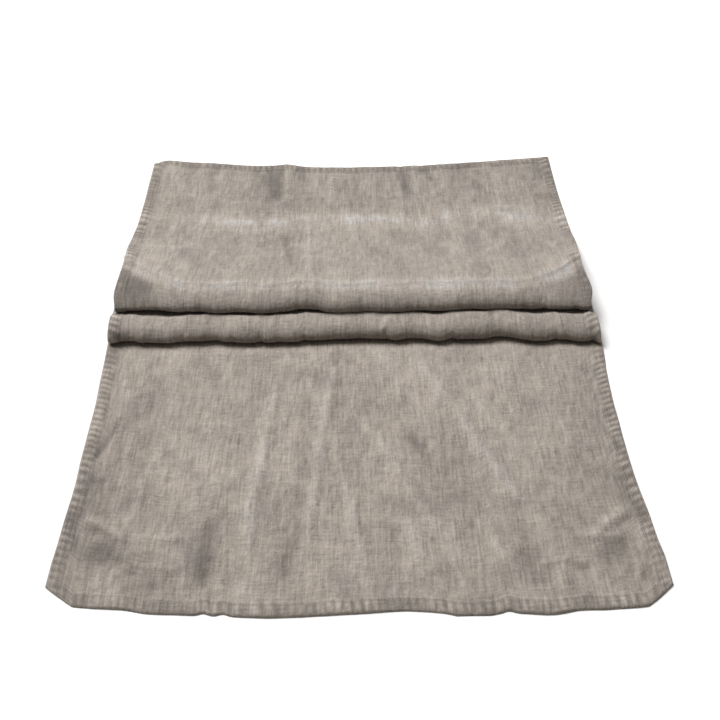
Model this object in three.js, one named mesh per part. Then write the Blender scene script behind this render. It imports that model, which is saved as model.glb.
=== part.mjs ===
// A hemmed linen table runner, lying flat with two soft pleats laid across its middle.
//
// Millimetres, +Z up. X runs across the runner, Y along it. The front edge is at -Y, and the
// origin is on the table, in the middle of the ground that the folded runner covers.
//
// The cloth is followed from its front edge to its back edge. It runs back along the table,
// turns over at a hidden back fold, comes forward, turns over at the lower roll, goes back, turns
// over at the second hidden back fold, comes forward, and turns over at the upper roll, from
// where it runs down to the table and on to its back edge. Five lengths make up that path:
//
//   front_panel          the flat front, and its hidden run under the pleats
//   lower_pleat_inside   back fold and the layer that comes forward inside the lower pleat
//   lower_pleat          lower roll and the layer that goes back from it
//   upper_pleat_inside   back fold and the layer that comes forward inside the upper pleat
//   back_panel           upper roll, the slope down to the table and the flat back
//
// Each length has its sheet, its two side hems and the two rows of stitches that hold them. The
// front panel and the back panel also have an end hem and its stitches.
import * as THREE from "three";

// Driving dimensions, mm
const WIDTH = 450;
const LAID_LENGTH = 604;
const CLOTH = 0.5; // one layer of washed linen
const HEM_WIDTH = 10; // a narrow hem, turned twice
const HEM_THICKNESS = 1.5; // three layers
const THREAD = 0.4; // width of a row of lock stitches
const STITCH_HEIGHT = 1.2; // needle thread on top to bobbin thread below
const GAP = 0.3; // between pieces that touch

// Pleats: depths are measured from the front edge, heights from the table
const BACK_FOLD_RADIUS = 0.95;
const LOWER_BACK_FOLD_DEPTH = 419;
const UPPER_BACK_FOLD_DEPTH = 412;
const LOWER_ROLL_DEPTH = 293;
const LOWER_ROLL_RADIUS = 5.7;
const UPPER_ROLL_DEPTH = 321;
const UPPER_ROLL_RADIUS = 7.2;
const UPPER_ROLL_HEIGHT = 21.2;
const CREST_DEPTH = 340;
const CREST_HEIGHT = 29.2;
const TOE_DEPTH = 468; // where the top layer reaches the table again

const ARC_STEPS = 12;
const SLOPE_STEPS = 14;

// Heights of the middle of each layer where the back folds hold them together
const layerPitch = 2 * BACK_FOLD_RADIUS;
const layerHeight = (layer) => HEM_THICKNESS / 2 + layer * layerPitch;

const linen = new THREE.MeshStandardMaterial({ color: 0xa59c92, roughness: 0.92, metalness: 0 });
const hemLinen = new THREE.MeshStandardMaterial({ color: 0x9a9187, roughness: 0.92, metalness: 0 });
const thread = new THREE.MeshStandardMaterial({ color: 0xb9b1a6, roughness: 0.7, metalness: 0 });

// Paths are lists of points (depth, height)
const point = (depth, height) => new THREE.Vector2(depth, height);

// Half a turn around a roll or fold, from its lowest point to its highest. A side of -1 bulges
// to the front, 1 to the back.
function halfTurn(depth, height, radius, side) {
  return Array.from({ length: ARC_STEPS + 1 }, (_, i) => {
    const angle = Math.PI * (i / ARC_STEPS - 0.5);
    return point(depth + side * radius * Math.cos(angle), height + radius * Math.sin(angle));
  });
}

// The top layer's fall from the crest to the table, half a cosine wave
function slope() {
  const low = layerHeight(0);
  return Array.from({ length: SLOPE_STEPS + 1 }, (_, i) => {
    const t = i / SLOPE_STEPS;
    const fall = (1 + Math.cos(Math.PI * t)) / 2;
    return point(CREST_DEPTH + t * (TOE_DEPTH - CREST_DEPTH), low + fall * (CREST_HEIGHT - low));
  });
}

const backFold = (depth, layer) =>
  halfTurn(depth, layerHeight(layer) + BACK_FOLD_RADIUS, BACK_FOLD_RADIUS, 1);

const lowerRollHeight = layerHeight(1) + LOWER_ROLL_RADIUS;
const upperRollBottom = UPPER_ROLL_HEIGHT - UPPER_ROLL_RADIUS;

const paths = {
  front_panel: [point(0, layerHeight(0)), point(LOWER_BACK_FOLD_DEPTH - GAP, layerHeight(0))],
  lower_pleat_inside: [
    ...backFold(LOWER_BACK_FOLD_DEPTH, 0),
    point(LOWER_ROLL_DEPTH + GAP, layerHeight(1)),
  ],
  lower_pleat: [
    ...halfTurn(LOWER_ROLL_DEPTH, lowerRollHeight, LOWER_ROLL_RADIUS, -1),
    point(UPPER_BACK_FOLD_DEPTH - GAP, layerHeight(2)),
  ],
  upper_pleat_inside: [
    ...backFold(UPPER_BACK_FOLD_DEPTH, 2),
    point(UPPER_ROLL_DEPTH + GAP, upperRollBottom),
  ],
  back_panel: [
    ...halfTurn(UPPER_ROLL_DEPTH, UPPER_ROLL_HEIGHT, UPPER_ROLL_RADIUS, -1),
    ...slope(),
    point(LAID_LENGTH, layerHeight(0)),
  ],
};

// The path moved sideways by an offset, each corner by the meeting of its two sides
function offsetPath(path, offset) {
  return path.map((here, i) => {
    const before = path[Math.max(i - 1, 0)];
    const after = path[Math.min(i + 1, path.length - 1)];
    const into = i > 0 ? here.clone().sub(before).normalize() : after.clone().sub(here).normalize();
    const out = i < path.length - 1 ? after.clone().sub(here).normalize() : into;
    const along = into.clone().add(out).normalize();
    const side = point(-along.y, along.x);
    const stretch = offset / along.dot(into);
    return here.clone().addScaledVector(side, stretch);
  });
}

// The path without a stretch at its start or its end
function trimmed(path, fromStart, fromEnd) {
  const cut = path.map((p) => p.clone());
  const last = cut.length - 1;
  const start = cut[1].clone().sub(cut[0]).normalize();
  const end = cut[last - 1].clone().sub(cut[last]).normalize();
  cut[0].addScaledVector(start, fromStart);
  cut[last].addScaledVector(end, fromEnd);
  return cut;
}

// A strip that follows a path, from one offset to another, and runs across from x to x + width
const acrossRunner = new THREE.Matrix4().makeBasis(
  new THREE.Vector3(0, 1, 0),
  new THREE.Vector3(0, 0, 1),
  new THREE.Vector3(1, 0, 0),
);

function strip(name, path, low, high, x, width, material) {
  const outline = [...offsetPath(path, low), ...offsetPath(path, high).reverse()];
  const geometry = new THREE.ExtrudeGeometry(new THREE.Shape(outline), {
    depth: width,
    bevelEnabled: false,
    steps: 1,
  });
  geometry.applyMatrix4(acrossRunner);
  const mesh = new THREE.Mesh(geometry, material);
  mesh.name = name;
  mesh.position.x = x;
  return mesh;
}

const hemLow = -HEM_THICKNESS / 2;
const hemHigh = HEM_THICKNESS / 2;
const clothLow = hemLow; // the sheet lies level with the hem's underside
const clothHigh = hemLow + CLOTH;
const stitchLow = -STITCH_HEIGHT / 2;
const stitchHigh = STITCH_HEIGHT / 2;
const threadStart = HEM_WIDTH + GAP;
const sheetStart = threadStart + THREAD + GAP;
const halfWidth = WIDTH / 2;

// One length of the runner. An end is how far the sheet stops short there, for an end hem.
function runnerLength(name, path, frontEnd, backEnd) {
  const group = new THREE.Group();
  const sheetPath = trimmed(path, frontEnd, backEnd);
  const sheetWidth = WIDTH - 2 * sheetStart;
  group.add(strip(name, sheetPath, clothLow, clothHigh, -halfWidth + sheetStart, sheetWidth, linen));
  for (const [side, hemX, threadX] of [
    ["left", -halfWidth, -halfWidth + threadStart],
    ["right", halfWidth - HEM_WIDTH, halfWidth - threadStart - THREAD],
  ]) {
    group.add(
      strip(`${name}_${side}_hem`, path, hemLow, hemHigh, hemX, HEM_WIDTH, hemLinen),
      strip(`${name}_${side}_stitches`, path, stitchLow, stitchHigh, threadX, THREAD, thread),
    );
  }
  return group;
}

// The hem across one end, and its stitches, between the rows that hold the side hems
function endHem(name, edgeDepth, inward) {
  const group = new THREE.Group();
  const level = (from, to) => {
    const ends = [edgeDepth + inward * from, edgeDepth + inward * to].sort((a, b) => a - b);
    return ends.map((depth) => point(depth, layerHeight(0)));
  };
  const x = -halfWidth + sheetStart;
  const width = WIDTH - 2 * sheetStart;
  const hem = level(0, HEM_WIDTH);
  const seam = level(threadStart, threadStart + THREAD);
  group.add(
    strip(name, hem, hemLow, hemHigh, x, width, hemLinen),
    strip(`${name}_stitches`, seam, stitchLow, stitchHigh, x, width, thread),
  );
  return group;
}

const runner = new THREE.Group();
runner.position.y = -LAID_LENGTH / 2;
for (const [name, path] of Object.entries(paths)) {
  const frontEnd = name === "front_panel" ? sheetStart : 0;
  const backEnd = name === "back_panel" ? sheetStart : 0;
  runner.add(runnerLength(name, path, frontEnd, backEnd));
}
runner.add(endHem("front_hem", 0, 1), endHem("back_hem", LAID_LENGTH, -1));

export default runner;
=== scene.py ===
"""A hemmed linen table runner with two soft pleats laid across it, in metres, +Z up.

The one cloth is modelled as five lengths that meet inside its hidden folds, as in the CAD model.
Each length is a sheet of real thickness that follows the cloth's path, with its own wrinkles, and
under its edges lie the turned hems, sewn through with separate stitches.
"""
import math

import bpy
import numpy as np
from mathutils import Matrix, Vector


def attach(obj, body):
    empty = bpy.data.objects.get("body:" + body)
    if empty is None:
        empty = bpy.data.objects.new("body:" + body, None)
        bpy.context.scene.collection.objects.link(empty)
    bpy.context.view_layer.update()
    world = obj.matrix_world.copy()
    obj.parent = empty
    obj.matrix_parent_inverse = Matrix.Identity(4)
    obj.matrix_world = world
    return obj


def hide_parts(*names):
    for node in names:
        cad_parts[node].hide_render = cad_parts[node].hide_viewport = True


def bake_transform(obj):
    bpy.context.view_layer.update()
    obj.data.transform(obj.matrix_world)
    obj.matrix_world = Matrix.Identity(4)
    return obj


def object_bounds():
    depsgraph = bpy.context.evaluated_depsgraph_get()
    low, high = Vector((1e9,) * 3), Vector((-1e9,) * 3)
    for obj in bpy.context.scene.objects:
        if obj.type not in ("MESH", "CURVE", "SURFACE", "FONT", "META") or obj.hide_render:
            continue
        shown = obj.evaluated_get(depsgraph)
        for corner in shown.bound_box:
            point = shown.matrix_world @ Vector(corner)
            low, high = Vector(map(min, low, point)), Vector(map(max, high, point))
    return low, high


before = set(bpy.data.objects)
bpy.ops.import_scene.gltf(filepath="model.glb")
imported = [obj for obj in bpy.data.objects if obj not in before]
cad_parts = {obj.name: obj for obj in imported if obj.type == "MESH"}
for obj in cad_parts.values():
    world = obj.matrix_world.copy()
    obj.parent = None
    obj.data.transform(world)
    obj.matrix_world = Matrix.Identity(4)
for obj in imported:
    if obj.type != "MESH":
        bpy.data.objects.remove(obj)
cad_box = [list(corner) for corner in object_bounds()]

MM = 0.001
FRONT_Y = cad_box[0][1]
WIDTH = cad_box[1][0] - cad_box[0][0]
DEPTH = cad_box[1][1] - cad_box[0][1]
HALF = WIDTH / 2

CLOTH = 0.5 * MM  # one layer of washed linen
HEM = 10 * MM  # width of the turned hem
HEM_LAYERS = 0.75 * MM  # the two layers turned under it
SEAM = 8.6 * MM  # from the finished edge to the row of stitches
STITCH = 2.9 * MM  # from one stitch to the next
THREAD = 0.38 * MM

# ---------------------------------------------------------------- smooth noise


class Noise:
    """Smooth noise in one or two dimensions, the same on every run."""

    def __init__(self, seed):
        self.table = np.random.default_rng(seed).uniform(-1, 1, (256, 256))

    def __call__(self, a, b=0.0):
        a, b = np.broadcast_arrays(np.asarray(a, float), np.asarray(b, float))
        a0, b0 = np.floor(a).astype(int), np.floor(b).astype(int)
        s, t = a - a0, b - b0
        s, t = (v * v * v * (v * (v * 6 - 15) + 10) for v in (s, t))

        def at(i, j):
            return self.table[(a0 + i) % 256, (b0 + j) % 256]

        low = at(0, 0) * (1 - s) + at(1, 0) * s
        high = at(0, 1) * (1 - s) + at(1, 1) * s
        return low * (1 - t) + high * t


def smoothstep(low, high, v):
    t = np.clip((v - low) / (high - low), 0, 1)
    return t * t * (3 - 2 * t)


def bump(v, centre, half_width):
    return np.exp(-(((v - centre) / half_width) ** 2))


edge_noise = Noise(11)
roll_noise = Noise(23)
broad_noise = Noise(37)
crumple_noise = Noise(41)
streak_noise = Noise(53)
pucker_noise = Noise(67)

# ---------------------------------------------------------------- outline of the laid runner
# Across is x, from -HALF to HALF; depth is measured from the front edge of the CAD model.


def front_edge(x):
    """Depth of the front edge: bowed and wavy, with both corners turned back."""
    bow = 2.4 + 5.5 * (np.abs(x) / 0.2) ** 3
    wave = -2.2 * bump(x, -0.060, 0.038) + 2.2 * bump(x, 0.027, 0.032) - 2.2 * bump(x, 0.080, 0.020)
    wave = wave - 4.3 * bump(x, 0.135, 0.022) - 2.4 * bump(x, 0.078, 0.014)
    wave = wave + 2.8 * smoothstep(-0.145, -0.170, x) - 2.6 * smoothstep(0.150, 0.175, x)
    small = 0.5 * edge_noise(x / 0.016, 2.5) + 0.9 * edge_noise(x / 0.045, 0.5)
    notches = 1.8 * bump(x, -0.110, 0.004) + 1.6 * bump(x, -0.096, 0.004)
    notches = notches + 1.8 * bump(x, 0.104, 0.004)
    corners = 15 * np.clip((np.abs(x) - 0.2025) / 0.0225, 0, 1) ** 1.1
    return np.maximum(bow + wave + small + notches + corners, 0.0) * MM


def back_edge(x):
    """Depth of the back edge: it sags forward in the middle, and the left corner is rounded."""
    sag = -20.5 * np.cos(np.clip(x / HALF, -1, 1) * math.pi / 2) ** 0.9
    fold = 5 * bump(x, -0.075, 0.018)
    wave = 1.3 * edge_noise(x / 0.050, 7.5) + 0.4 * edge_noise(x / 0.018, 9.5)
    left_corner = -9 * smoothstep(-HALF + 0.022, -HALF, x) ** 2
    right_corner = -1.5 * smoothstep(HALF - 0.012, HALF, x) ** 2
    return DEPTH + (sag + fold + wave + left_corner + right_corner - 1.0) * MM


def front_pull(depth, side):
    """How far a side edge of the front panel is drawn in, in millimetres: most in its middle."""
    hump = np.sin(math.pi * np.clip((depth - 0.05) / 0.245, 0, 1)) ** 0.8
    return (4.9 + 1.6 * side) * hump


def lower_pull(depth, side):
    """The same for the lower roll and the layers inside the pleats: alike all along."""
    return 3.0 + 1.0 * side + 0 * depth


def back_pull(depth, side):
    """The same for the back panel: most at the upper roll's nose and on the slope."""
    nose = (5.5 + 1.0 * side) * bump(depth, 0.313, 0.014)
    slope = (5.6 + 1.5 * side) * bump(depth, 0.378, 0.050)
    return nose + slope + 1.6 * smoothstep(0.46, 0.53, depth)


# ---------------------------------------------------------------- path of the cloth
# The path is that of the cloth's wrong side. Its right side lies over it on the flat panels, and
# under it in the layers that come forward inside the pleats. Depths are as above.

LAYER_1 = 0.05 * MM
LOWER_FOLD, UPPER_FOLD = 0.419, 0.412
LOWER_SEAM, UPPER_SEAM = 0.316, 0.368  # where the hidden layers meet the rolls
UPPER_SEAM_HEIGHT = 11.5 * MM
LOWER_NOSE, UPPER_NOSE = 0.2865, 0.3116
LOWER_ACROSS, UPPER_ACROSS = 22 * MM, 23 * MM  # from a roll's nose back to its crest
LOWER_UNDER, UPPER_UNDER = 8 * MM, 10 * MM  # from a roll's nose back along its underside
LOWER_NOSE_HEIGHT, LOWER_TOP = 6.0 * MM, 15.4 * MM
UPPER_BASE, UPPER_NOSE_HEIGHT, UPPER_TOP = 14.4 * MM, 19.4 * MM, 28.3 * MM
LEAD_GAP = 0.4 * MM  # between a roll's first row and the last of the run that leads to it
PRESSED_REACH, PRESSED_HEIGHT = 10 * MM, 11.1 * MM  # the upper roll presses the lower one down here
TOE = 0.478  # where the top layer reaches the table


def lower_nose(x):
    """Depth of the lower roll's foremost line, which is wavy and a little ragged."""
    wave = 1.6 * roll_noise(x / 0.050, 1.5) + 1.5 * roll_noise(x / 0.016, 4.5)
    wave = wave + 4.5 * (0.25 - np.abs(roll_noise(x / 0.019, 6.5))) + 0.5 * roll_noise(x / 0.007, 5.5)
    tucks = 3.6 * bump(x, 0.006, 0.024) + 2.4 * bump(x, 0.134, 0.012) - 2.5 * smoothstep(0.16, 0.21, x)
    return LOWER_NOSE + (wave + tucks) * MM


def upper_nose(x):
    """The same for the upper roll."""
    wave = 1.3 * roll_noise(x / 0.045, 8.5) + 1.2 * roll_noise(x / 0.015, 11.5)
    wave = wave + 3.5 * (0.25 - np.abs(roll_noise(x / 0.021, 14.5))) + 0.5 * roll_noise(x / 0.007, 12.5)
    dips = 2.6 * bump(x, -0.045, 0.014) - 2.6 * bump(x, 0.032, 0.024)
    dips = dips + 3.0 * smoothstep(-0.165, -0.185, x)
    return UPPER_NOSE + (wave + dips) * MM


def upper_across(x):
    """How far the upper roll's crest lies behind its nose: further at both ends."""
    ends = np.clip((np.abs(x) - HALF + 0.085) / 0.085, 0, 1) ** 1.9
    return UPPER_ACROSS + (2.0 * roll_noise(x / 0.05, 40.5) + 46 * ends) * MM


def upper_crest(x):
    """Depth of the upper roll's crest."""
    return upper_nose(x) + upper_across(x)


def arc(depth, height, across, up, side, count, start=-90.0, end=90.0):
    """Rows along part of an ellipse, seen from the side. A side of -1 bulges to the front."""
    angle = np.radians(np.linspace(start, end, count))[:, None]
    return depth + side * across * np.cos(angle), height + up * np.sin(angle)


UNDER_ROWS, FACE_ROWS = 9, 23


def rolled(front, heights, across_under, across_face):
    """Rows round a roll: a short turn under its nose, then a long round face up to its crest.

    The heights are those of its underside, its nose and its crest.
    """
    low, nose, top = heights
    under = arc(front + across_under, nose, across_under, nose - low, -1, UNDER_ROWS, end=0.0)
    face = arc(front + across_face, nose, across_face, top - nose, -1, FACE_ROWS, start=0.0)
    return joined(under, tuple(rows[1:] for rows in face))


def run(start, end, count, whole=False):
    """Rows along a straight stretch, without its first point unless whole. Ends are (depth, height)."""
    t = np.linspace(0, 1, count + 1)[0 if whole else 1:, None]
    return tuple(a + (b - a) * t for a, b in zip(start, end))


def joined(*stretches):
    """Stretches one after the other, as full grids of rows and columns."""
    depth = [np.broadcast_to(d, (d.shape[0], columns.size)) for d, _ in stretches]
    height = [np.broadcast_to(h, (h.shape[0], columns.size)) for _, h in stretches]
    return np.vstack(depth), np.vstack(height)


def spaced(width, step, fine, band):
    """Places across a width: fine steps in a band at each edge, wider steps between."""
    edge = np.arange(0, band, fine)
    middle = np.linspace(band, width - band, round((width - 2 * band) / step) + 1)
    return np.concatenate([edge, middle, width - edge[::-1]])


COLUMN_STEP = 1.7 * MM
FINE_STEP = 1.1 * MM  # over the hems
HEM_END = 13.2 * MM  # as far in as the fine steps go
columns = spaced(WIDTH, COLUMN_STEP, FINE_STEP, HEM_END) - HALF

# A back fold closes on the hems of its two layers, and the cloth sags together between them.
near_hems = smoothstep(HALF - 0.030, HALF - 0.013, np.abs(columns))
FOLD_RADIUS = (0.9 + 0.45 * near_hems) * MM
LAYER_2 = LAYER_1 + 2 * FOLD_RADIUS
LAYER_3 = LAYER_2 + FOLD_RADIUS - 0.7 * MM


def last(path):
    """The last row of a path, for the next stretch to start from."""
    return path[0][-1], path[1][-1]


HEM_ROWS = np.arange(12)[:, None] * FINE_STEP  # fine rows over an end hem
FRONT_INNER = 0.289  # the front panel is hidden behind this depth
FRONT_ROWS, SLOPE_ROWS, FLAT_ROWS = 142, 60, 64  # where the cloth is in full view
FOLD_ROWS = 9


def front_path():
    """From the front edge to the hidden back fold of the lower pleat."""
    edge = front_edge(columns)[None]
    t = np.linspace(0, 1, FRONT_ROWS)[:, None]
    visible = edge + HEM_END + (FRONT_INNER - edge - HEM_END) * t
    hidden = run((FRONT_INNER, LAYER_1), (LOWER_FOLD, LAYER_1), 22)[0] + 0 * edge
    depth = np.vstack([edge + HEM_ROWS, visible, hidden])
    return depth, np.full(depth.shape, LAYER_1)


def lower_inside_path():
    """Round the back fold and forward, up to where the lower roll begins."""
    fold = arc(LOWER_FOLD, LAYER_1 + FOLD_RADIUS, FOLD_RADIUS, FOLD_RADIUS, 1, FOLD_ROWS)
    return joined(fold, run(last(fold), (LOWER_SEAM, LAYER_2), 24))


def lower_path():
    """The lower roll and the layer that goes back from it to the second back fold."""
    across = LOWER_ACROSS + 1.2 * MM * roll_noise(columns / 0.06, 30.5)[None]
    top = LOWER_TOP * (1 + 0.05 * roll_noise(columns / 0.035, 33.5))[None]
    front = lower_nose(columns)[None]
    roll = rolled(front, (LAYER_2, LOWER_NOSE_HEIGHT, top), LOWER_UNDER, across)
    lead_end = (front[0] + LOWER_UNDER + LEAD_GAP, LAYER_2)
    lead = run((LOWER_SEAM, LAYER_2), lead_end, 5, whole=True)
    pressed_end = (front[0] + across[0] + PRESSED_REACH, PRESSED_HEIGHT)
    pressed = run(last(roll), pressed_end, 8)
    back = run(last(pressed), (UPPER_FOLD, LAYER_3), 36)
    return joined(lead, roll, pressed, back)


def upper_inside_path():
    """Round the second back fold and forward, up to where the upper roll begins."""
    fold = arc(UPPER_FOLD, LAYER_3 + FOLD_RADIUS, FOLD_RADIUS, FOLD_RADIUS, 1, FOLD_ROWS)
    return joined(fold, run(last(fold), (UPPER_SEAM, UPPER_SEAM_HEIGHT), 14))


def back_path():
    """The upper roll, the slope down to the table and the flat back."""
    across = upper_across(columns)[None]
    droop = 0.10 * (across - UPPER_ACROSS)
    top = UPPER_TOP - droop + 0.45 * MM * roll_noise(columns / 0.04, 43.5)[None]
    front = upper_nose(columns)[None]
    centre = front + across
    roll = rolled(front, (UPPER_BASE, UPPER_NOSE_HEIGHT, top), UPPER_UNDER, across)
    lead_end = (front[0] + UPPER_UNDER + LEAD_GAP, UPPER_BASE)
    lead = run((UPPER_SEAM, UPPER_SEAM_HEIGHT), lead_end, 6, whole=True)
    t = np.linspace(0, 1, SLOPE_ROWS)[1:, None]
    slope_depth = centre + (TOE - centre) * t
    fall = 0.5 * (1 + np.cos(math.pi * t ** 0.86))
    crest = 1.1 * MM * bump(t, 0.02, 0.035)
    slope_height = LAYER_1 + (top - LAYER_1) * fall + crest
    stop = back_edge(columns)[None] - HEM_END
    flat = TOE + (stop - TOE) * np.linspace(0, 1, FLAT_ROWS)[1:, None]
    hem = back_edge(columns)[None] - HEM_ROWS[::-1]
    ground = np.full((flat.shape[0] + hem.shape[0], columns.size), LAYER_1)
    roll_depth, roll_height = joined(lead, roll)
    depth = np.vstack([roll_depth, slope_depth, flat, hem])
    height = np.vstack([roll_height, slope_height, ground])
    return depth, height


# ---------------------------------------------------------------- wrinkles


RIDGE_FADE = 0.25  # share of a ridge's length over which each of its ends fades out


def ridge(x, depth, points, width, height):
    """A soft crease along a line of (x, depth) points in millimetres, higher than the cloth."""
    pts = np.array(points, float) * MM
    total = np.zeros_like(x)
    seg = np.hypot(*(pts[1:] - pts[:-1]).T)
    ends = np.concatenate([[0], np.cumsum(seg)]) / seg.sum()
    for a, b, ta, tb in zip(pts[:-1], pts[1:], ends[:-1], ends[1:]):
        along = b - a
        t = np.clip(((x - a[0]) * along[0] + (depth - a[1]) * along[1]) / (along @ along), 0, 1)
        off = np.hypot(x - a[0] - t * along[0], depth - a[1] - t * along[1])
        place = ta + (tb - ta) * t
        strength = smoothstep(0, RIDGE_FADE, place) * smoothstep(1, 1 - RIDGE_FADE, place)
        total = np.maximum(total, np.exp(-((off / (width * MM)) ** 2)) * strength)
    return total * height * MM


FRONT_RIDGES = [
    # points (x, depth), half width, height
    ([(-14, 286), (-18, 252)], 2.6, -0.9),
    ([(5, 286), (3, 248)], 2.6, 0.8),
    ([(30, 286), (37, 255)], 2.8, -0.8),
    ([(-96, 286), (-92, 250)], 3.0, 0.6),
    ([(-66, 260), (-74, 174), (-82, 94), (-84, 30)], 6.0, 2.0),
    ([(-18, 259), (-28, 174), (-38, 84), (-42, 28)], 5.0, 1.7),
    ([(-22, 189), (-10, 119), (0, 64), (6, 26)], 3.8, 1.3),
    ([(-12, 214), (28, 144), (52, 86), (84, 32)], 5.0, 1.4),
    ([(48, 286), (72, 219), (96, 164), (124, 100), (140, 64)], 6.5, 2.4),
    ([(36, 79), (48, 48), (52, 30)], 4.0, 1.6),
    ([(86, 90), (108, 44), (116, 28)], 4.5, 1.4),
    ([(20, 279), (34, 239), (40, 204)], 4.0, 1.2),
    ([(-213, 90), (-192, 80), (-170, 66)], 5.0, 1.8),
    ([(-168, 72), (-150, 68), (-118, 70)], 4.0, 0.9),
    ([(212, 94), (186, 76), (170, 60)], 5.0, 1.8),
    ([(160, 70), (182, 64), (204, 68)], 4.0, 0.9),
    ([(-152, 102), (-130, 100), (-104, 99)], 1.6, 0.35),
    ([(112, 99), (140, 101), (166, 106)], 1.6, 0.35),
    ([(-195, 202), (-203, 172), (-213, 141)], 2.4, -1.5),
    ([(208, 202), (224, 162), (228, 142)], 3.0, -1.2),
    ([(40, 174), (50, 162), (60, 156)], 4.5, -1.6),
    ([(-168, 46), (-150, 44), (-128, 38)], 1.8, 0.5),
    ([(-118, 20), (-104, 22), (-92, 25)], 1.8, 0.5),
    ([(-150, 60), (-136, 52), (-122, 36)], 1.8, 0.4),
    ([(128, 42), (150, 45), (172, 43)], 1.8, 0.5),
    ([(122, 22), (134, 20), (148, 21)], 1.8, 0.5),
    ([(66, 58), (72, 36), (76, 18)], 2.2, 0.8),
    ([(158, 56), (150, 44), (146, 32)], 1.8, 0.4),
    ([(-110, 54), (-112, 42), (-112, 30)], 5.0, -1.0),
    ([(-53, 54), (-54, 42), (-52, 30)], 4.0, -1.3),
    ([(120, 56), (123, 46), (124, 36)], 4.0, -1.0),
]

# The same for the lower roll and the back panel
LOWER_RIDGES = [
    ([(22, 288), (27, 296), (30, 306)], 2.4, 1.6),
    ([(35, 288), (31, 298), (30, 306)], 2.2, 1.0),
    ([(-92, 288), (-98, 298), (-97, 306)], 2.4, 1.0),
    ([(-150, 288), (-154, 300)], 3.0, -0.8),
]

BACK_RIDGES = [
    ([(-84, 602), (-82, 560), (-78, 508)], 6.0, -2.2),
    ([(-73, 600), (-72, 560), (-70, 512)], 2.6, 1.0),
    ([(-71, 462), (-66, 415), (-59, 366)], 2.4, -1.9),
    ([(-46, 492), (-45, 440), (-42, 343)], 3.0, 1.5),
    ([(-28, 455), (-27, 410), (-24, 370)], 3.0, 0.7),
    ([(52, 600), (55, 570), (62, 510)], 4.0, -1.8),
    ([(66, 598), (70, 560), (72, 520)], 3.0, 1.0),
    ([(76, 590), (80, 574), (90, 548)], 3.5, -1.4),
    ([(205, 590), (208, 560), (200, 530)], 4.0, -1.2),
    ([(-205, 585), (-180, 530)], 6.0, 1.2),
    ([(-240, 492), (-160, 478), (-90, 473), (-50, 482), (20, 479), (75, 469), (110, 478)], 7.0, 0.5),
    ([(85, 470), (120, 482), (150, 500), (190, 496), (240, 486)], 7.0, 0.5),
    ([(110, 376), (150, 424), (172, 474)], 6.0, 1.0),
    ([(-20, 565), (-24, 530), (-16, 490)], 6.0, 0.9),
    ([(150, 590), (146, 545), (150, 515)], 5.0, 0.8),
    ([(-140, 590), (-146, 545), (-150, 500)], 5.0, 0.8),
]

# Painted shade along the front panel's creases and on the near sides of its ridges, painted highlights
# along ridges, and broad darker and paler patches, the largest at both front corners.
FRONT_SHADING_AND_PATCHES = [
    # points (x, depth), half width, how much paler, or darker where it is below zero
    ([(-195, 202), (-203, 172), (-213, 141)], 2.6, -0.20),
    ([(197, 202), (207, 170), (218, 134)], 2.6, -0.22),
    ([(-214, 127), (-206, 125), (-198, 127)], 3.6, -0.30),
    ([(199, 124), (207, 121), (215, 123)], 3.6, -0.30),
    ([(-200, 66), (-186, 56), (-170, 50)], 13.0, -0.30),
    ([(200, 66), (188, 56), (172, 48)], 13.0, -0.30),
    ([(-180, 40), (-150, 36), (-120, 30)], 14.0, -0.10),
    ([(-168, 44), (-164, 36)], 5.0, -0.20),
    ([(-150, 36), (-150, 22)], 5.0, -0.16),
    ([(160, 42), (164, 36)], 4.0, -0.20),
    ([(-215, 34), (-212, 14)], 4.0, -0.20),
    ([(207, 44), (204, 24)], 4.0, -0.22),
    ([(-212, 150), (-198, 90), (-184, 30)], 20.0, -0.17),
    ([(212, 150), (198, 90), (186, 30)], 20.0, -0.17),
    ([(-214, 74), (-190, 68), (-168, 50)], 5.0, 0.16),
    ([(214, 78), (190, 72), (168, 52)], 5.0, 0.16),
    ([(-112, 95), (-114, 50), (-112, 16)], 7.0, -0.36),
    ([(124, 90), (125, 50), (124, 18)], 8.0, -0.16),
    ([(-52, 75), (-54, 45), (-51, 18)], 6.0, -0.18),
    ([(-92, 110), (-94, 60), (-95, 16)], 7.0, 0.10),
    ([(-34, 120), (-38, 60), (-40, 16)], 8.0, 0.10),
    ([(60, 95), (78, 50), (88, 18)], 8.0, 0.10),
    ([(38, 180), (52, 150), (58, 142)], 5.0, -0.18),
    ([(14, 110), (34, 98), (40, 84)], 5.0, -0.15),
    ([(-190, 70), (-176, 52), (-170, 36)], 9.0, -0.10),
    ([(-20, 90), (-16, 50), (-20, 20)], 6.0, -0.06),
    ([(50, 70), (44, 40), (46, 18)], 6.0, -0.08),
]

# The same for the back panel: painted highlights in pale bands across it and along ridges, painted shade
# along creases, and patches.
BACK_SHADING_AND_PATCHES = [
    ([(-330, 488), (-200, 482), (-120, 475), (-60, 474)], 14.0, 0.17),
    ([(-170, 478), (-90, 473), (-50, 480), (20, 479), (75, 471), (130, 478)], 14.0, 0.28),
    ([(70, 490), (130, 484), (190, 480), (330, 474)], 16.0, 0.31),
    ([(70, 462), (100, 490), (140, 545)], 7.0, 0.12),
    ([(-212, 395), (-150, 366), (-90, 356)], 8.0, 0.12),
    ([(-90, 600), (-88, 555), (-83, 508)], 9.0, -0.30),
    ([(-71, 602), (-70, 560), (-68, 515)], 3.0, 0.20),
    ([(-152, 596), (-156, 560), (-150, 520)], 9.0, -0.12),
    ([(54, 598), (56, 560), (64, 505)], 7.0, -0.16),
    ([(80, 592), (86, 560), (92, 535)], 7.0, -0.14),
    ([(-68, 465), (-64, 415), (-58, 362)], 4.0, -0.16),
    ([(-45, 490), (-43, 430), (-41, 320)], 4.0, 0.12),
    ([(150, 592), (160, 560), (150, 515)], 9.0, 0.08),
    ([(-30, 592), (-20, 550), (-24, 505)], 9.0, 0.07),
    ([(110, 356), (160, 366), (214, 400)], 9.0, 0.14),
]


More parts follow.
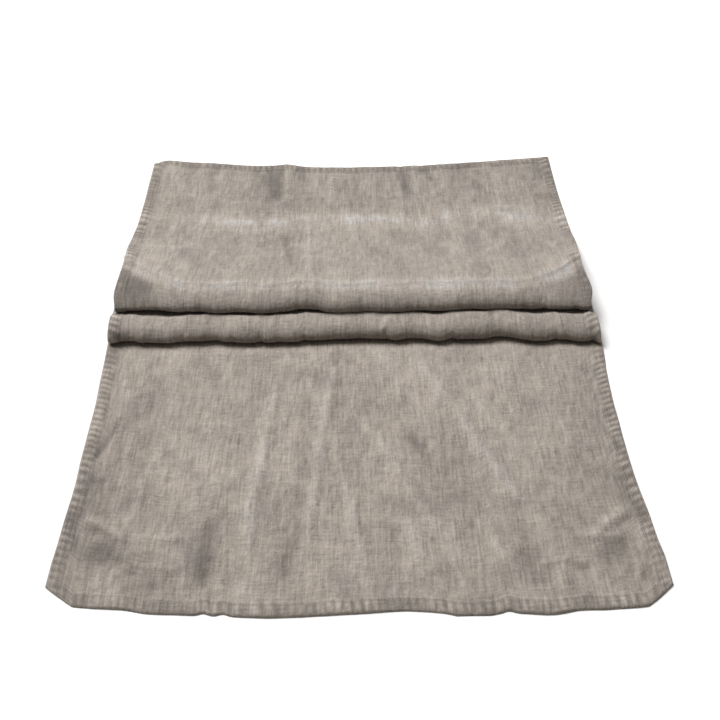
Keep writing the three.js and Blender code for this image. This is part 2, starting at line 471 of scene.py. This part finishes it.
def ridges_over(x, depth, ridges):
    """The sum of a list of ridges, in millimetres."""
    return sum(ridge(x, depth, points, width, height) for points, width, height in ridges) / MM


def wrinkles(x, depth, ridges):
    """Height of the cloth above its path where nothing presses on it.

    Over the ridges lie long ripples, two sets of sharp creases and a fine ruffle.
    """
    raised = ridges_over(x, depth, ridges) * MM
    turn = 0.010 * broad_noise(x / 0.05, depth / 0.06)
    ripple = broad_noise(x / 0.030, depth / 0.085) * 0.75
    creased = 0.5 - np.abs(crumple_noise((x + turn) / 0.015, depth / 0.034))
    crossed = 0.5 - np.abs(crumple_noise((depth + turn) / 0.017 + 40, x / 0.040))
    fine = streak_noise(x / 0.0060, depth / 0.012) * 0.22
    return 1.5 * raised + (ripple + 0.95 * creased + 0.6 * crossed + fine + 0.8) * MM


def puckers(along, seed):
    """Ripples that the stitches draw up in a hem, from 0 to 1."""
    phase = along / 0.0066 + 1.6 * pucker_noise(along / 0.05, seed)
    size = 0.65 + 0.35 * pucker_noise(along / 0.018, seed + 3)
    return (0.5 + 0.5 * np.sin(2 * math.pi * phase)) * size


def pucker_zone(inward):
    """How far the puckers reach in from an edge, from 1 over the hem to 0."""
    return smoothstep(16 * MM, 9 * MM, inward)


def end_puckers(across, inward, side_off, seed):
    """Puckers in an end hem, between the side hems."""
    return puckers(across, seed) * (inward < side_off + 2 * MM) * pucker_zone(inward)


# ---------------------------------------------------------------- sheets


def hem_profile(off):
    """Thickness of what is turned under at a distance in from the finished edge, 0 to 1."""
    return smoothstep(HEM + 2.2 * MM, HEM - 0.1 * MM, off)


def edge_fall(off, height):
    """How far the top layer drops to wrap the hem at its outer fold."""
    t = np.clip(1 - off / (0.9 * MM), 0, 1)
    return height * (1 - np.sqrt(np.clip(1 - t * t, 0, 1)))


def upward(depth, height):
    """The way out of the cloth's right side, seen from the side, at each point of a path."""
    dd = np.gradient(depth, axis=0)
    dh = np.gradient(height, axis=0)
    size = np.hypot(dd, dh) + 1e-9
    return -dh / size, dd / size


class Length:
    """One length of the cloth: its path, its height over the path, its tone and its skin.

    A length without a visible function lies hidden inside a pleat, and has no wrinkles.
    """

    def __init__(self, path, pull, ridges=(), visible=None, front_hem=False, back_hem=False, seed=0):
        self.depth, self.height = path
        rows, cols = self.depth.shape
        self.across = np.broadcast_to(columns, (rows, cols)).copy()
        self.normal_d, self.normal_h = upward(self.depth, self.height)
        step = np.hypot(np.diff(self.depth, axis=0), np.diff(self.height, axis=0))
        self.along = np.vstack([np.zeros((1, cols)), np.cumsum(step, axis=0)])
        self.from_back = self.along[-1:] - self.along
        self.side_off = HALF - np.abs(self.across)
        self.off = self.side_off
        if front_hem:
            self.off = np.minimum(self.off, self.along)
        if back_hem:
            self.off = np.minimum(self.off, self.from_back)
        self.hem = hem_profile(self.off)
        self.draw_in(pull)
        self.tone = np.zeros_like(self.depth)
        self.lift = np.zeros_like(self.depth)
        if visible is not None:
            free = visible(self.depth, self.along)
            side_ripple = puckers(self.depth + 0.35 * self.side_off, seed + 1) * pucker_zone(self.side_off)
            ripple = self.hem_ripple(side_ripple, front_hem, back_hem, seed)
            hem_zone = smoothstep(15 * MM, 7 * MM, self.off) * smoothstep(0.2 * MM, 2.2 * MM, self.off)
            self.raise_cloth(ridges, free, ripple, hem_zone)
            self.paint_shading_and_tone(ridges, free, side_ripple, ripple, hem_zone)

    def draw_in(self, pull):
        """Draws the side edges in."""
        for side in (-1, 1):
            near = smoothstep(0.10, 0.0, HALF - side * self.across)
            small = 0.5 * edge_noise(self.depth / 0.03, 20 + side)
            self.across -= side * MM * (pull(self.depth, side) + small) * near ** 1.2

    def hem_ripple(self, side_ripple, front_hem, back_hem, seed):
        """Puckers in all the hems of this length, from 0 to 1."""
        ripple = side_ripple
        if front_hem:
            slanted = self.across + 0.15 * self.along
            ripple = np.maximum(ripple, end_puckers(slanted, self.along, self.side_off, seed + 5))
        if back_hem:
            ripple = np.maximum(ripple, end_puckers(self.across, self.from_back, self.side_off, seed + 9))
        return ripple

    def raise_cloth(self, ridges, free, ripple, hem_zone):
        """How far the cloth stands above its path: wrinkles, puckers and a groove at the seam."""
        quiet = smoothstep(0, 9 * MM, self.off)
        lift = wrinkles(self.across, self.depth, ridges) * free
        lift = lift * (0.35 + 0.65 * quiet)
        stitched = 1 - 0.85 * bump(self.off, SEAM, 1.3 * MM)
        lift += 0.95 * MM * ripple * hem_zone * stitched * free
        lift -= 0.30 * MM * bump(self.off, SEAM, 0.8 * MM) * free
        self.lift = np.maximum(lift, -self.hem * 0.25 * MM)

    def paint_shading_and_tone(self, ridges, free, side_ripple, ripple, hem_zone):
        """Where the cloth is painted paler or darker: painted highlights on its ridges, painted shade where
        its crumples sit low, painted light and shade over the hem puckers and a painted shade line in the
        seam's groove, over some random tone.
        """
        # Painted highlight: paler along the ridges.
        self.tone += 0.10 * ridges_over(self.across, self.depth, ridges) * free
        self.tone += 0.09 * broad_noise(self.across / 0.020, self.depth / 0.070 + 30)
        # Painted shade: darker where the crumpled cloth sits low between its creases.
        self.tone -= 0.14 * np.abs(crumple_noise(self.across / 0.015, self.depth / 0.034)) * free
        fine = np.abs(pucker_noise(self.across / 0.007, self.depth / 0.013))
        self.tone += 0.12 * (0.35 - fine) * free
        # Painted light and shade over the hem puckers: paler on them, darker between them; and a painted
        # shade line along the seam's groove.
        self.tone += 0.15 * (side_ripple - 0.45 * pucker_zone(self.side_off)) * hem_zone
        self.tone += (0.6 * ripple - 0.29) * hem_zone - 0.14 * bump(self.off, SEAM, 1.0 * MM)
        self.tone = np.minimum(self.tone, 0.14)

    def surface(self, over):
        """Points at a height over the path's underside, in the row frame."""
        d = self.depth + self.normal_d * over
        h = self.height + self.normal_h * over
        return np.stack([self.across, FRONT_Y + d, h], axis=-1)

    def top(self):
        full = CLOTH + HEM_LAYERS * self.hem
        return full + self.lift - edge_fall(self.off, full * 0.62)

    def skin(self):
        """The sheet: its right side on top, and its wrong side one layer below."""
        top = self.top()
        return self.surface(top), self.surface(np.maximum(top - CLOTH, 0.0))


def grid_mesh(name, top, low, flat, tone=None):
    """A closed sheet from two grids of points that share their outline, with flat coordinates.

    Its tone, kept at the points, is how much paler or darker the cloth is painted: mostly painted light and
    shade, with some random tone.
    """
    rows, cols = top.shape[:2]
    count = rows * cols
    index = np.arange(count).reshape(rows, cols)
    a, b, c, d = index[:-1, :-1], index[1:, :-1], index[1:, 1:], index[:-1, 1:]
    upper = np.stack([a, d, c, b], -1).reshape(-1, 4)
    lower = np.stack([a, b, c, d], -1).reshape(-1, 4) + count
    ring = np.concatenate([index[0, :-1], index[:-1, -1], index[-1, :0:-1], index[:0:-1, 0]])
    after = np.roll(ring, -1)
    rim = np.stack([ring, ring + count, after + count, after], -1)
    faces = np.vstack([upper, lower, rim])
    mesh = bpy.data.meshes.new(name)
    mesh.vertices.add(2 * count)
    mesh.vertices.foreach_set("co", np.concatenate([top.reshape(-1, 3), low.reshape(-1, 3)]).ravel())
    mesh.loops.add(faces.size)
    mesh.loops.foreach_set("vertex_index", faces.ravel())
    mesh.polygons.add(len(faces))
    mesh.polygons.foreach_set("loop_start", np.arange(0, faces.size, 4))
    mesh.polygons.foreach_set("use_smooth", np.ones(len(faces), bool))
    uv = mesh.uv_layers.new(name="Cloth")
    both = np.concatenate([flat.reshape(-1, 2), flat.reshape(-1, 2)])
    uv.data.foreach_set("uv", both[faces.ravel()].ravel())
    if tone is not None:
        kept = mesh.attributes.new("tone", "FLOAT", "POINT")
        kept.data.foreach_set("value", np.concatenate([tone.ravel(), tone.ravel()]))
    mesh.update(calc_edges=True)
    mesh.validate()
    piece = bpy.data.objects.new(name, mesh)
    bpy.context.scene.collection.objects.link(piece)
    return piece


# How freely each length's wrinkles show: 1 in the open, 0 where layers press on the cloth.


def visible_front(depth, along):
    return smoothstep(0.288, 0.270, depth)


def visible_lower(depth, along):
    return 0.6 * smoothstep(0.330, 0.318, depth) * smoothstep(0.026, 0.036, along)


def visible_back(depth, along):
    settle = 0.45 + 0.55 * smoothstep(0.345, 0.42, depth)
    return settle * smoothstep(0.050, 0.062, along)


lengths = {
    "front_panel": Length(
        front_path(), front_pull, FRONT_RIDGES, visible_front, front_hem=True, seed=1
    ),
    "lower_pleat_inside": Length(lower_inside_path(), lower_pull),
    "lower_pleat": Length(lower_path(), lower_pull, LOWER_RIDGES, visible_lower, seed=2),
    "upper_pleat_inside": Length(upper_inside_path(), lower_pull),
    "back_panel": Length(
        back_path(), back_pull, BACK_RIDGES, visible_back, back_hem=True, seed=3
    ),
}


def paint_front_shading_and_patches(front):
    """The front panel's painted shade and highlights along its creases and ridges, and its patches."""
    front.tone += ridges_over(front.across, front.depth, FRONT_SHADING_AND_PATCHES)


def shade_lower_roll_nose(pleat):
    """Painted shade: darker towards the lower roll's nose."""
    pleat.tone -= 0.16 * smoothstep(12 * MM, 2 * MM, pleat.depth - lower_nose(pleat.across))


def paint_back_shading_and_patches(back):
    """A painted highlight along the upper roll's crest and painted shade on its face below, most at both
    ends and near its nose; the cloth darker from a little behind the crest on and again towards the back
    edge; and painted light and shade with patches over the back.
    """
    over = smoothstep(0.050, 0.060, back.along)  # past the hidden underside
    behind_crest = back.depth - upper_crest(back.across)
    crest_width = (9 + 9 * smoothstep(0.14, 0.20, np.abs(back.across))) * MM
    streaks = 0.9 + 0.4 * streak_noise(back.across / 0.02, 3.5)
    # Painted highlight along the crest.
    back.tone += 0.24 * bump(behind_crest, 1 * MM, crest_width) * streaks * over
    # Painted shade on the roll's face below the crest, more at both ends, the left most.
    back.tone -= 0.09 * smoothstep(-4 * MM, -12 * MM, behind_crest) * over
    at_ends = smoothstep(0.178, 0.198, np.abs(back.across))
    end_shade = np.where(back.across < 0, 0.42, 0.24) * at_ends
    back.tone -= end_shade * smoothstep(-5 * MM, -16 * MM, behind_crest) * over
    # Painted shade on the upper roll's underside and lowest face, near its nose.
    back.tone -= 0.13 * smoothstep(10 * MM, 1 * MM, back.depth - upper_nose(back.across))
    back.tone -= 0.07 * smoothstep(8 * MM, 24 * MM, behind_crest)
    back.tone -= 0.05 * smoothstep(0.50, 0.58, back.depth)
    patchy = 0.9 + 0.35 * streak_noise(back.across / 0.012, back.depth / 0.01)
    # Painted highlights and shade over the back: pale bands across it and along ridges, darker along
    # creases, and patches.
    back.tone += ridges_over(back.across, back.depth, BACK_SHADING_AND_PATCHES) * patchy


paint_front_shading_and_patches(lengths["front_panel"])
shade_lower_roll_nose(lengths["lower_pleat"])
paint_back_shading_and_patches(lengths["back_panel"])
for length in lengths.values():
    length.tone = np.clip(length.tone, -0.5, 0.45)

# ---------------------------------------------------------------- materials


class Nodes:
    """A new material's node tree, with short ways to add to it."""

    def __init__(self, name):
        self.material = bpy.data.materials.new(name)
        self.material.use_nodes = True
        self.tree = self.material.node_tree
        self.tree.nodes.clear()

    def feed(self, socket, value):
        """Links a socket, or sets its constant."""
        if isinstance(value, bpy.types.NodeSocket):
            self.tree.links.new(value, socket)
        else:
            socket.default_value = value

    def add(self, kind, inputs=None, **settings):
        made = self.tree.nodes.new(kind)
        for key, value in settings.items():
            setattr(made, key, value)
        for key, value in (inputs or {}).items():
            self.feed(made.inputs[key], value)
        return made

    def maths(self, operation, a, b=0.0):
        made = self.add("ShaderNodeMath", operation=operation)
        self.feed(made.inputs[0], a)
        self.feed(made.inputs[1], b)
        return made.outputs[0]

    def total(self, *values):
        result = values[0]
        for value in values[1:]:
            result = self.maths("ADD", result, value)
        return result

    def times(self, a, b):
        return self.maths("MULTIPLY", a, b)

    def mix(self, share, a, b, **settings):
        made = self.add("ShaderNodeMix", {0: share, 6: a, 7: b}, data_type="RGBA", **settings)
        return made.outputs[2]

    def surface(self, colour, normal, **settings):
        """Ends the tree with a plain surface; its settings are constants."""
        shader = self.add("ShaderNodeBsdfPrincipled", {"Base Color": colour, "Normal": normal})
        for key, value in settings.items():
            shader.inputs[key.replace("_", " ")].default_value = value
        out = self.add("ShaderNodeOutputMaterial")
        self.tree.links.new(shader.outputs["BSDF"], out.inputs["Surface"])


THREAD_PITCH = 0.72 * MM
WARM_FLAX = (0.345, 0.304, 0.266, 1)
COOL_FLAX = (0.302, 0.267, 0.240, 1)
# Paler, greyer flax for the painted highlights.
HIGHLIGHT_FLAX = (0.336, 0.314, 0.294, 1)
DARK_THREAD = (0.27, 0.24, 0.205, 1)
LIGHT_THREAD = (0.45, 0.405, 0.35, 1)


class LinenNodes(Nodes):
    """Patterns over the flat cloth: x across it, y along it, in metres."""

    def __init__(self, name):
        super().__init__(name)
        self.flat = self.add("ShaderNodeUVMap", uv_map="Cloth").outputs["UV"]

    def noise(self, across, along, detail=2.0, rough=0.5, shift=0.0):
        """Noise of a size across and along the cloth."""
        mapping = self.add("ShaderNodeMapping", {"Vector": self.flat})
        mapping.inputs["Scale"].default_value = (1 / across, 1 / along, 1)
        mapping.inputs["Location"].default_value = (shift, shift * 0.7, 0)
        place = {"Vector": mapping.outputs["Vector"], "Scale": 1.0}
        made = self.add("ShaderNodeTexNoise", {**place, "Detail": detail, "Roughness": rough})
        return made.outputs["Fac"]

    def centred(self, amount, *noise):
        """The same about zero, times an amount."""
        return self.times(self.maths("SUBTRACT", self.noise(*noise), 0.5), amount)

    def threads(self):
        """Warp runs along the cloth, weft across it, each with thick and thin stretches."""
        warp = self.centred(1.5, 1.5 * MM, 17 * MM, 3.0, 0.6)
        warp_slub = self.centred(0.8, 3.2 * MM, 46 * MM, 2.0, 0.5, 3.1)
        weft = self.centred(1.1, 13 * MM, 1.7 * MM, 3.0, 0.6, 7.7)
        fleck = self.centred(0.9, 1.7 * MM, 2.2 * MM, 2.0, 0.7, 1.9)
        return self.total(warp, warp_slub, self.total(weft, fleck))

    def weave(self):
        """The over and under of the two sets of threads."""
        separate = self.add("ShaderNodeSeparateXYZ", {"Vector": self.flat})
        wave_u = self.maths("SINE", self.times(separate.outputs["X"], math.pi / THREAD_PITCH))
        wave_v = self.maths("SINE", self.times(separate.outputs["Y"], math.pi / THREAD_PITCH))
        warp_over = self.maths("GREATER_THAN", self.times(wave_u, wave_v), 0.0)
        weft_over = self.maths("SUBTRACT", 1.0, warp_over)
        ribs_u = self.times(self.maths("ABSOLUTE", wave_u), warp_over)
        ribs_v = self.times(self.maths("ABSOLUTE", wave_v), weft_over)
        return self.total(ribs_u, ribs_v)

    def colour(self, threads, weave):
        """Warm grey flax with cooler patches, lighter or darker by the tone, and paler and greyer where the
        tone carries painted highlights.
        """
        patch = self.add("ShaderNodeMapRange", {"Value": self.noise(24 * MM, 34 * MM, 4.0, 0.6, 5.3)})
        patch.inputs["From Min"].default_value = 0.50
        patch.inputs["From Max"].default_value = 0.70
        base = self.mix(patch.outputs["Result"], WARM_FLAX, COOL_FLAX)
        # The tone: mostly painted light and shade, with some random tone.
        tone = self.add("ShaderNodeAttribute", attribute_name="tone").outputs["Fac"]
        highlight_share = self.add("ShaderNodeMapRange", {"Value": tone, "From Min": 0.08, "From Max": 0.22})
        base = self.mix(highlight_share.outputs["Result"], base, HIGHLIGHT_FLAX)
        value = self.total(
            self.times(threads, 0.66),
            self.times(weave, 0.16),
            0.90,
            self.centred(0.34, 9 * MM, 15 * MM, 3.0, 0.6, 4.4),
            self.centred(0.26, 50 * MM, 60 * MM, 3.0, 0.5, 9.9),
        )
        value = self.times(value, self.maths("ADD", tone, 1.0))
        shade = self.add("ShaderNodeCombineColor", {0: value, 1: value, 2: value}).outputs[0]
        return self.mix(1.0, base, shade, blend_type="MULTIPLY")

    def relief(self, threads, weave):
        """The weave's own relief, and small crinkles over it."""
        fine = self.total(self.times(weave, 0.5), self.times(threads, 0.9))
        small = self.add("ShaderNodeBump", {"Height": fine, "Strength": 0.7, "Distance": 0.28 * MM})
        wide_crinkle = self.noise(12 * MM, 26 * MM, 2.0, 0.5, 6.1)
        crinkle = self.total(self.noise(5.5 * MM, 9 * MM, 3.0, 0.55, 2.2), self.times(wide_crinkle, 1.4))
        over = {"Height": crinkle, "Normal": small.outputs["Normal"]}
        return self.add("ShaderNodeBump", {**over, "Strength": 0.8, "Distance": 1.6 * MM}).outputs["Normal"]


def linen_material():
    nodes = LinenNodes("washed_linen")
    threads = nodes.threads()
    weave = nodes.weave()
    colour = nodes.colour(threads, weave)
    look = {"Roughness": 0.93, "Specular_IOR_Level": 0.18, "Sheen_Weight": 0.22, "Sheen_Roughness": 0.5}
    nodes.surface(colour, nodes.relief(threads, weave), **look)
    return nodes.material


def thread_material():
    nodes = Nodes("linen_thread")
    place = nodes.add("ShaderNodeNewGeometry").outputs["Position"]
    fuzz = nodes.add("ShaderNodeTexNoise", {"Vector": place, "Scale": 900.0, "Detail": 2.0})
    tone = nodes.add("ShaderNodeValToRGB", {"Fac": fuzz.outputs["Fac"]})
    tone.color_ramp.elements[0].color = DARK_THREAD
    tone.color_ramp.elements[1].color = LIGHT_THREAD
    twist = nodes.add("ShaderNodeTexWave", {"Vector": place, "Scale": 700.0, "Distortion": 1.5})
    relief = {"Height": twist.outputs["Fac"], "Strength": 0.4, "Distance": 0.1 * MM}
    bumped = nodes.add("ShaderNodeBump", relief)
    nodes.surface(tone.outputs["Color"], bumped.outputs["Normal"], Roughness=0.7, Sheen_Weight=0.3)
    return nodes.material


linen = linen_material()
thread = thread_material()

# ---------------------------------------------------------------- pieces


TUBE_INSET = 0.25 * MM  # the turned layers lie this far inside the sheet's edge
TUBE_LAP = 0.04 * MM  # and stay this far under its right side


def linen_piece(name, top, low, flat, tone=None):
    piece = grid_mesh(name, top, low, flat, tone)
    piece.data.materials.append(linen)
    return piece


def flat_coordinates(length, start):
    return np.stack([length.across * 0 + columns + HALF, length.along + start], axis=-1)


def sheet_pieces():
    """The sheet of each length, with its flat coordinates following on from the one before."""
    made = {}
    start = 0.0
    for name, length in lengths.items():
        top, low = length.skin()
        made[name] = linen_piece(name + "_linen", top, low, flat_coordinates(length, start), length.tone)
        start += float(length.along[-1].mean())
    return made


def tube_half(outer, inner):
    """Half the thickness of two turned layers, thinner towards both long edges."""
    thin = np.clip(np.minimum(outer, inner) / (0.5 * MM), 0.12, 1)
    return (HEM_LAYERS / 2 - 0.03 * MM) * np.sqrt(thin)


def tube(name, part, length, half, shift, flat):
    """The two turned layers of a part of a length: a flat tube, shifted across and in depth."""
    across, inward = shift
    x = part(length.across) + across
    lift = part(length.lift)

    def at(over):
        d = part(length.depth) + part(length.normal_d) * over + inward
        h = part(length.height) + part(length.normal_h) * over
        return np.stack([x, FRONT_Y + d, h], axis=-1)

    top = at(HEM_LAYERS / 2 + half + lift - TUBE_LAP)
    low = at(np.maximum(HEM_LAYERS / 2 - half + 0.4 * lift, 0.0))
    return linen_piece(name, top, low, flat)


def hem_strip(name, length, side):
    """The two layers turned under one side edge."""
    side_off = HALF - side * columns
    take = np.where(side_off <= HEM + 0.1 * MM)[0]

    def part(grid):
        return grid[:, take]

    half = tube_half(part(length.off), (HEM + 0.4 * MM - side_off[take])[None])
    across = np.broadcast_to(columns[take] + HALF, half.shape) + 0.013
    flat = np.stack([across, part(length.along)], -1)
    return tube(name, part, length, half, (-side * TUBE_INSET, 0.0), flat)


def end_strip(name, length, at_front):
    """The two layers turned under an end, between the side hems."""
    take = np.where(HALF - np.abs(columns) > HEM + 0.3 * MM)[0]
    inward = length.along if at_front else length.from_back
    keep = np.where(inward[:, columns.size // 2] <= HEM + 0.1 * MM)[0]

    def part(grid):
        return grid[keep][:, take]

    half = tube_half(part(inward), HEM + 0.4 * MM - part(inward))
    flat = np.stack([part(length.along) + 0.4, part(length.across) + HALF], -1)
    return tube(name, part, length, half, (0.0, TUBE_INSET if at_front else -TUBE_INSET), flat)


STITCH_SIDES, STITCH_RINGS = 6, 5


def stitch_faces(count):
    """The faces of a number of short closed tubes, one after the other."""
    per = STITCH_RINGS * STITCH_SIDES
    one = []
    for r in range(STITCH_RINGS - 1):
        here, ahead = r * STITCH_SIDES, (r + 1) * STITCH_SIDES
        for k in range(STITCH_SIDES):
            n = (k + 1) % STITCH_SIDES
            one.append((here + k, here + n, ahead + n, ahead + k))
    one.append(tuple(range(STITCH_SIDES - 1, -1, -1)))
    one.append(tuple(range(per - STITCH_SIDES, per)))
    return [tuple(i + s * per for i in face) for s in range(count) for face in one]


def stitch_row(name, points, normals):
    """A row of lock stitches along a line of points: each a short thread that dips at both ends."""
    step = np.linalg.norm(np.diff(points, axis=0), axis=1)
    place = np.concatenate([[0], np.cumsum(step)])
    count = max(2, int(place[-1] / STITCH))
    ring_t = np.linspace(-1, 1, STITCH_RINGS)
    centre_at = (np.arange(count) + 0.5) * place[-1] / count
    half_length = 0.44 * place[-1] / count
    at = centre_at[:, None] + ring_t[None] * half_length

    def sample(values):
        return np.stack([np.interp(at, place, values[:, k]) for k in range(3)], -1)

    axis = sample(points)
    normal = sample(normals)
    normal /= np.linalg.norm(normal, axis=-1, keepdims=True)
    ahead = np.gradient(axis, axis=1)
    ahead /= np.linalg.norm(ahead, axis=-1, keepdims=True)
    across = np.cross(normal, ahead)
    dip = THREAD * (0.18 - 0.80 * np.abs(ring_t) ** 2.5)
    axis = axis + normal * dip[None, :, None]
    radius = THREAD / 2 * np.sqrt(np.clip(1.08 - ring_t ** 4, 0.1, 1))
    angle = (np.arange(STITCH_SIDES) * 2 * math.pi / STITCH_SIDES)[:, None]
    circle = np.cos(angle) * across[:, :, None] + 0.8 * np.sin(angle) * normal[:, :, None]
    verts = axis[:, :, None] + circle * radius[None, :, None, None]
    mesh = bpy.data.meshes.new(name)
    mesh.from_pydata(verts.reshape(-1, 3).tolist(), [], stitch_faces(count))
    mesh.polygons.foreach_set("use_smooth", np.ones(len(mesh.polygons), bool))
    mesh.update()
    piece = bpy.data.objects.new(name, mesh)
    bpy.context.scene.collection.objects.link(piece)
    piece.data.materials.append(thread)
    return piece


def seam_line(length, side):
    """The line of a side seam on the right side of a length, and the way out of the cloth."""
    column = int(np.argmin(np.abs(columns - side * (HALF - SEAM))))
    normal_d, normal_h = length.normal_d[:, column], length.normal_h[:, column]
    return length.surface(length.top())[:, column], np.stack([0 * normal_d, normal_d, normal_h], -1)


def end_seam_line(length, at_front):
    """The same for the seam of an end hem."""
    inward = length.along if at_front else length.from_back
    row = int(np.argmin(np.abs(inward[:, columns.size // 2] - SEAM)))
    inside = np.where(HALF - np.abs(columns) > SEAM)[0]
    normal_d, normal_h = length.normal_d[row, inside], length.normal_h[row, inside]
    return length.surface(length.top())[row, inside], np.stack([0 * normal_d, normal_d, normal_h], -1)


def hem_pieces():
    """The turned hems and needle threads, as (CAD node, length, piece)."""
    made = []
    for name, length in lengths.items():
        for word, side in (("left", -1), ("right", 1)):
            edge = f"{name}_{word}"
            made.append((edge + "_hem", name, hem_strip(edge + "_turned_hem", length, side)))
            row = stitch_row(edge + "_needle_thread", *seam_line(length, side))
            made.append((edge + "_stitches", name, row))
    for end, at_front in (("front", True), ("back", False)):
        name = end + "_panel"
        length = lengths[name]
        made.append((end + "_hem", name, end_strip(end + "_turned_hem", length, at_front)))
        row = stitch_row(end + "_needle_thread", *end_seam_line(length, at_front))
        made.append((end + "_hem_stitches", name, row))
    return made


sheets = sheet_pieces()
hems = hem_pieces()

# ---------------------------------------------------------------- what each piece stands for

# The lower blend also grows with height, so that the top of its back fold leads the bottom and
# the cloth there doesn't double back on itself.
BLEND_START_HEIGHT = 0.9 * MM
BLEND_LEAN, BLEND_RISE = 0.53 * MM, 7.74 * MM
LOWER_BLEND = (
    (0, FRONT_Y + LOWER_FOLD, BLEND_START_HEIGHT),
    (0, FRONT_Y + LOWER_FOLD - BLEND_LEAN, BLEND_START_HEIGHT + BLEND_RISE),
)
UPPER_BLEND = ((0, FRONT_Y + UPPER_FOLD, 0), (0, FRONT_Y + UPPER_SEAM, 0))
BODY = {"front_panel": "front", "lower_pleat": "pleat", "back_panel": "back"}
BLENDS = {
    "lower_pleat_inside": ("front", "pleat", *LOWER_BLEND),
    "upper_pleat_inside": ("pleat", "back", *UPPER_BLEND),
}


def carry(piece, length_name):
    """Rides the piece on its body; a piece between two bodies gets its place baked into its mesh and rides
    on none.
    """
    if length_name in BLENDS:
        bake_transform(piece)
    else:
        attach(piece, BODY[length_name])


for name, sheet in sheets.items():
    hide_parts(name)
    carry(sheet, name)
for node_name, length_name, piece in hems:
    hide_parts(node_name)
    carry(piece, length_name)

# ---------------------------------------------------------------- floor, light and camera


def floor():
    reach = 6.0
    corners = [(-reach, -reach, 0), (reach, -reach, 0), (reach, reach, 0), (-reach, reach, 0)]
    mesh = bpy.data.meshes.new("floor")
    mesh.from_pydata(corners, [], [(0, 1, 2, 3)])
    made = bpy.data.objects.new("floor", mesh)
    bpy.context.scene.collection.objects.link(made)
    material = bpy.data.materials.new("floor_white")
    material.use_nodes = True
    shader = material.node_tree.nodes["Principled BSDF"]
    shader.inputs["Base Color"].default_value = (0.93, 0.93, 0.93, 1)
    shader.inputs["Roughness"].default_value = 0.9
    mesh.materials.append(material)


def soft_light(name, place, size, power):
    """A rectangular light that faces the runner."""
    data = bpy.data.lights.new(name, "AREA")
    data.shape = "RECTANGLE"
    data.size, data.size_y = size
    data.energy = power
    lamp = bpy.data.objects.new(name, data)
    lamp.location = place
    lamp.rotation_euler = (-Vector(place)).to_track_quat("-Z", "Y").to_euler()
    bpy.context.scene.collection.objects.link(lamp)


floor()
soft_light("key_from_behind", (-1.35, 1.9, 3.25), (3.0, 2.2), 243)
soft_light("overhead", (0.1, 0.3, 3.2), (2.4, 2.4), 8)

world = bpy.data.worlds.new("studio")
bpy.context.scene.world = world
world.use_nodes = True
background = world.node_tree.nodes["Background"]
background.inputs["Color"].default_value = (1.0, 0.91, 0.82, 1)
background.inputs["Strength"].default_value = 0.14
bpy.context.scene.view_settings.view_transform = "Standard"

CAMERA_BACK = 0.390  # in front of the front edge
CAMERA_UP = 0.605
CAMERA_DOWN = 42.75  # degrees below level
CAMERA_TURN = 0.92  # degrees to the right of straight along the runner
CAMERA_X = -6.6 * MM
camera_data = bpy.data.cameras.new("camera")
camera_data.lens = 50
camera_data.sensor_width = 36
camera = bpy.data.objects.new("camera", camera_data)
camera.location = (CAMERA_X, FRONT_Y - CAMERA_BACK, CAMERA_UP)
camera.rotation_euler = (math.radians(90 - CAMERA_DOWN), 0, math.radians(-CAMERA_TURN))
bpy.context.scene.collection.objects.link(camera)
bpy.context.scene.camera = camera
